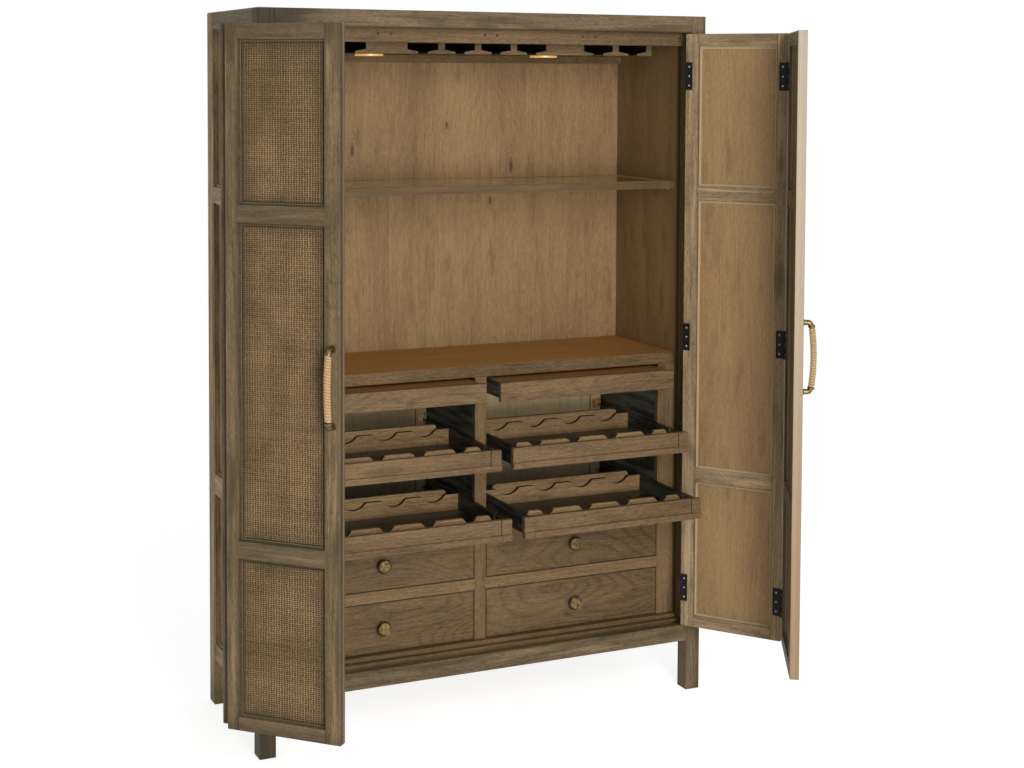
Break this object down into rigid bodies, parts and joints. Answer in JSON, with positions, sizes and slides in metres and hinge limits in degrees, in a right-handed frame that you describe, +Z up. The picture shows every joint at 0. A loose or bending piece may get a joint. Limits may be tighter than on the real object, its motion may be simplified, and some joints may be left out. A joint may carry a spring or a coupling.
{
  "type": "bar cabinet",
  "caption": "Free-standing bar cabinet with folding doors, pull-out wine racks and trays, drawers, counter, glass shelf and stemware rack",
  "frame": {"origin": "centre of the underside of the front left foot, on the floor", "axes": "+X along the front to the right as seen from the front, +Y from the front to the back, +Z up"},
  "size_m": [1.7311, 1.1107, 2.1],
  "materials": {
    "weathered_oak": "weathered grey-brown open-grain timber, matt",
    "light_veneer": "lighter tan timber veneer, matt",
    "dark_divider": "dark stained timber with black slides",
    "counter_wood": "warm brown timber, satin",
    "shelf_glass": "clear glass",
    "woven_panel": "woven olive-tan strips on a thin board",
    "black_metal": "black painted steel, satin",
    "antique_brass": "dark aged brass",
    "rope": "tan twisted cord",
    "light_housing": "satin metal ring round a warm lens"
  },
  "bodies": {
    "cabinet": {"post_front_left": "weathered_oak", "post_front_right": "weathered_oak", "post_rear_left": "weathered_oak", "post_rear_right": "weathered_oak", "top_panel": "weathered_oak", "front_top_rail": "weathered_oak", "front_bottom_rail": "weathered_oak", "left_side": "weathered_oak", "right_side": "weathered_oak", "bottom_board": "weathered_oak", "face_frame": "weathered_oak", "upper_stop_rail": "weathered_oak", "stemware_rack": "weathered_oak", "shelf_frame": "weathered_oak", "back_panel": "light_veneer", "left_inner_side": "light_veneer", "right_inner_side": "light_veneer", "bay_divider": "dark_divider", "counter_board": "counter_wood", "shelf_glass": "shelf_glass", "left_light": "light_housing", "right_light": "light_housing"},
    "left_side_leaf": {"left_side_leaf_frame": "weathered_oak", "left_side_leaf_panel": "woven_panel", "left_post_hinge_top": "black_metal", "left_post_hinge_middle": "black_metal", "left_post_hinge_bottom": "black_metal"},
    "left_centre_leaf": {"left_centre_leaf_frame": "weathered_oak", "left_centre_leaf_panel": "woven_panel", "left_fold_hinge_top": "black_metal", "left_fold_hinge_middle": "black_metal", "left_fold_hinge_bottom": "black_metal", "left_handle_bar": "antique_brass", "left_rope_grip": "rope"},
    "left_tray": {"left_tray": "weathered_oak"},
    "left_upper_rack": {"left_upper_rack": "weathered_oak"},
    "left_upper_drawer": {"left_upper_drawer": "weathered_oak", "left_upper_knob": "antique_brass"},
    "left_lower_rack": {"left_lower_rack": "weathered_oak"},
    "left_lower_drawer": {"left_lower_drawer": "weathered_oak", "left_lower_knob": "antique_brass"},
    "right_side_leaf": {"right_side_leaf_frame": "weathered_oak", "right_side_leaf_panel": "woven_panel", "right_post_hinge_top": "black_metal", "right_post_hinge_middle": "black_metal", "right_post_hinge_bottom": "black_metal"},
    "right_centre_leaf": {"right_centre_leaf_frame": "weathered_oak", "right_centre_leaf_panel": "woven_panel", "right_fold_hinge_top": "black_metal", "right_fold_hinge_middle": "black_metal", "right_fold_hinge_bottom": "black_metal", "right_handle_bar": "antique_brass", "right_rope_grip": "rope"},
    "right_tray": {"right_tray": "weathered_oak"},
    "right_upper_rack": {"right_upper_rack": "weathered_oak"},
    "right_upper_drawer": {"right_upper_drawer": "weathered_oak", "right_upper_knob": "antique_brass"},
    "right_lower_rack": {"right_lower_rack": "weathered_oak"},
    "right_lower_drawer": {"right_lower_drawer": "weathered_oak", "right_lower_knob": "antique_brass"}
  },
  "joints": [
    {"name": "left_post_hinge", "type": "hinge", "parent": "cabinet", "child": "left_side_leaf", "pos_m": [0.028, -0.018, 0], "axis": [0, 0, -1], "range_deg": [-48, 7]},
    {"name": "left_fold_hinge", "type": "hinge", "parent": "left_side_leaf", "child": "left_centre_leaf", "pos_m": [-0.17127, -0.28374, 0], "axis": [0, 0, 1], "range_deg": [-87, 48]},
    {"name": "right_post_hinge", "type": "hinge", "parent": "cabinet", "child": "right_side_leaf", "pos_m": [1.348, -0.018, 0], "axis": [0, 0, 1], "range_deg": [-41, 14]},
    {"name": "right_fold_hinge", "type": "hinge", "parent": "right_side_leaf", "child": "right_centre_leaf", "pos_m": [1.5134, -0.30604, 0], "axis": [0, 0, -1], "range_deg": [-65.6, 69.4]},
    {"name": "left_tray_slide", "type": "slide", "parent": "cabinet", "child": "left_tray", "axis": [0, -1, 0], "range_m": [-0.09, 0.24]},
    {"name": "right_tray_slide", "type": "slide", "parent": "cabinet", "child": "right_tray", "axis": [0, -1, 0], "range_m": [-0.101, 0.229]},
    {"name": "left_upper_rack_slide", "type": "slide", "parent": "cabinet", "child": "left_upper_rack", "axis": [0, -1, 0], "range_m": [-0.195, 0.135]},
    {"name": "right_upper_rack_slide", "type": "slide", "parent": "cabinet", "child": "right_upper_rack", "axis": [0, -1, 0], "range_m": [-0.19, 0.14]},
    {"name": "left_lower_rack_slide", "type": "slide", "parent": "cabinet", "child": "left_lower_rack", "axis": [0, -1, 0], "range_m": [-0.27, 0.06]},
    {"name": "right_lower_rack_slide", "type": "slide", "parent": "cabinet", "child": "right_lower_rack", "axis": [0, -1, 0], "range_m": [-0.27, 0.06]},
    {"name": "left_upper_drawer_slide", "type": "slide", "parent": "cabinet", "child": "left_upper_drawer", "axis": [0, -1, 0], "range_m": [0, 0.33]},
    {"name": "right_upper_drawer_slide", "type": "slide", "parent": "cabinet", "child": "right_upper_drawer", "axis": [0, -1, 0], "range_m": [0, 0.33]},
    {"name": "left_lower_drawer_slide", "type": "slide", "parent": "cabinet", "child": "left_lower_drawer", "axis": [0, -1, 0], "range_m": [0, 0.33]},
    {"name": "right_lower_drawer_slide", "type": "slide", "parent": "cabinet", "child": "right_lower_drawer", "axis": [0, -1, 0], "range_m": [0, 0.33]}
  ]
}
